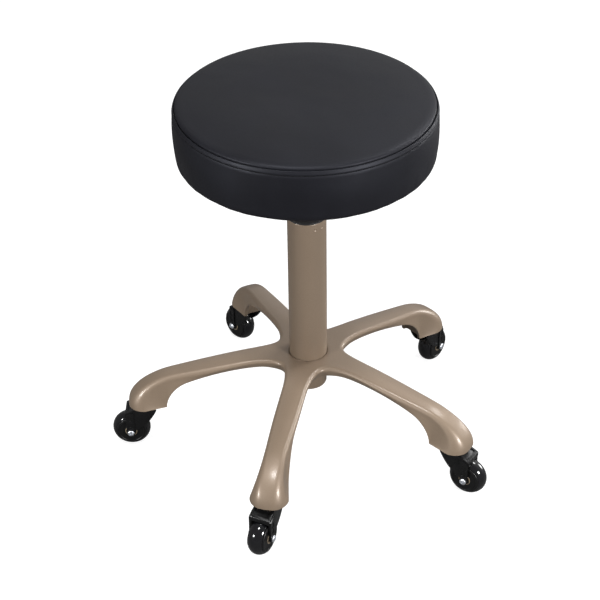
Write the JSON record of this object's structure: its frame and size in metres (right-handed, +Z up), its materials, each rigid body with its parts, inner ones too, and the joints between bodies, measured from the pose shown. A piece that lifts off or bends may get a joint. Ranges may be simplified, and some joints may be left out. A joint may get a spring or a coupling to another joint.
{
  "type": "pedicure stool",
  "caption": "Low round padded stool with a gas-lift column, a release lever and a cast star base on swivelling ball casters.",
  "frame": {"origin": "centre of the seat's flat top, on the swivel axis, at the lowest seat height", "axes": "+Z up along the column; the front arm of the base points along -Y and the release lever along +Y; the floor is at z = -0.5185 m"},
  "size_m": [0.511, 0.4895, 0.5185],
  "materials": {
    "base_paint": "satin champagne paint with a faint metallic flake",
    "bush_plastic": "moulded nylon",
    "vinyl": "smooth matt upholstery vinyl",
    "foam": "open-cell upholstery foam",
    "plywood": "sanded plywood",
    "black_steel": "black powder coat",
    "zinc_steel": "zinc plated",
    "bright_steel": "polished chrome",
    "seal_rubber": "matt rubber",
    "grip_plastic": "fine-textured moulded plastic",
    "fork_plastic": "semi-gloss moulded nylon",
    "tread": "glossy polyurethane",
    "wheel_plastic": "semi-gloss moulded nylon"
  },
  "bodies": {
    "base": {"base_star": "base_paint", "column_tube": "base_paint", "guide_bush": "bush_plastic", "bearing_washer": "zinc_steel", "caster_stem_1": "zinc_steel", "caster_stem_2": "zinc_steel", "caster_stem_3": "zinc_steel", "caster_stem_4": "zinc_steel", "caster_stem_5": "zinc_steel"},
    "spindle": {"piston_rod": "bright_steel", "piston": "bush_plastic", "thrust_bearing": "zinc_steel", "rod_buffer": "seal_rubber", "rod_clip": "zinc_steel"},
    "seat": {"gas_cylinder": "black_steel", "cylinder_seal": "seal_rubber", "valve_body": "zinc_steel", "seat_plate": "black_steel", "seat_board": "plywood", "seat_foam": "foam", "seat_cover_top": "vinyl", "seat_cover_band": "vinyl", "seat_bolt_1": "zinc_steel", "seat_bolt_2": "zinc_steel", "seat_bolt_3": "zinc_steel", "seat_bolt_4": "zinc_steel", "t_nut_1": "zinc_steel", "t_nut_2": "zinc_steel", "t_nut_3": "zinc_steel", "t_nut_4": "zinc_steel", "lever_bracket": "black_steel", "lever_pivot": "zinc_steel"},
    "lever": {"release_lever": "bright_steel", "lever_grip": "grip_plastic"},
    "pin": {"release_pin": "zinc_steel"},
    "caster_1": {"caster_fork_1": "fork_plastic", "axle_bolt_1": "bright_steel", "axle_nut_1": "bright_steel"},
    "caster_2": {"caster_fork_2": "fork_plastic", "axle_bolt_2": "bright_steel", "axle_nut_2": "bright_steel"},
    "caster_3": {"caster_fork_3": "fork_plastic", "axle_bolt_3": "bright_steel", "axle_nut_3": "bright_steel"},
    "caster_4": {"caster_fork_4": "fork_plastic", "axle_bolt_4": "bright_steel", "axle_nut_4": "bright_steel"},
    "caster_5": {"caster_fork_5": "fork_plastic", "axle_bolt_5": "bright_steel", "axle_nut_5": "bright_steel"},
    "wheel_1": {"caster_tyre_1": "tread", "wheel_core_1": "wheel_plastic"},
    "wheel_2": {"caster_tyre_2": "tread", "wheel_core_2": "wheel_plastic"},
    "wheel_3": {"caster_tyre_3": "tread", "wheel_core_3": "wheel_plastic"},
    "wheel_4": {"caster_tyre_4": "tread", "wheel_core_4": "wheel_plastic"},
    "wheel_5": {"caster_tyre_5": "tread", "wheel_core_5": "wheel_plastic"}
  },
  "joints": [
    {"name": "seat_swivel", "type": "hinge", "parent": "base", "child": "spindle", "pos_m": [0, 0, -0.425], "axis": [0, 0, 1], "continuous": true},
    {"name": "seat_lift", "type": "slide", "parent": "spindle", "child": "seat", "axis": [0, 0, 1], "range_m": [0, 0.12]},
    {"name": "lever_tilt", "type": "hinge", "parent": "seat", "child": "lever", "pos_m": [0, 0.031, -0.089], "axis": [1, 0, 0], "range_deg": [0, 5]},
    {"name": "pin_press", "type": "slide", "parent": "seat", "child": "pin", "axis": [0, 0, -1], "range_m": [0, 0.003]},
    {"name": "caster_swivel_1", "type": "hinge", "parent": "base", "child": "caster_1", "pos_m": [0, -0.218, -0.452], "axis": [0, 0, 1], "continuous": true},
    {"name": "caster_swivel_2", "type": "hinge", "parent": "base", "child": "caster_2", "pos_m": [0.20733, -0.06737, -0.452], "axis": [0, 0, 1], "continuous": true},
    {"name": "caster_swivel_3", "type": "hinge", "parent": "base", "child": "caster_3", "pos_m": [0.12814, 0.17637, -0.452], "axis": [0, 0, 1], "continuous": true},
    {"name": "caster_swivel_4", "type": "hinge", "parent": "base", "child": "caster_4", "pos_m": [-0.12814, 0.17637, -0.452], "axis": [0, 0, 1], "continuous": true},
    {"name": "caster_swivel_5", "type": "hinge", "parent": "base", "child": "caster_5", "pos_m": [-0.20733, -0.06737, -0.452], "axis": [0, 0, 1], "continuous": true},
    {"name": "wheel_spin_1", "type": "hinge", "parent": "caster_1", "child": "wheel_1", "pos_m": [-0.00544, -0.24158, -0.4931], "axis": [0.9744, -0.225, 0], "continuous": true},
    {"name": "wheel_spin_2", "type": "hinge", "parent": "caster_2", "child": "wheel_2", "pos_m": [0.23035, -0.07484, -0.4931], "axis": [0.309, 0.9511, 0], "continuous": true},
    {"name": "wheel_spin_3", "type": "hinge", "parent": "caster_3", "child": "wheel_3", "pos_m": [0.13767, 0.19861, -0.4931], "axis": [-0.9191, 0.3939, 0], "continuous": true},
    {"name": "wheel_spin_4", "type": "hinge", "parent": "caster_4", "child": "wheel_4", "pos_m": [-0.14803, 0.19014, -0.4931], "axis": [-0.5693, -0.8221, 0], "continuous": true},
    {"name": "wheel_spin_5", "type": "hinge", "parent": "caster_5", "child": "wheel_5", "pos_m": [-0.2309, -0.07285, -0.4931], "axis": [0.2267, -0.974, 0], "continuous": true}
  ],
  "couplings": [
    {"joint": "pin_press", "follows": "lever_tilt", "m_per_rad": 0.031}
  ]
}
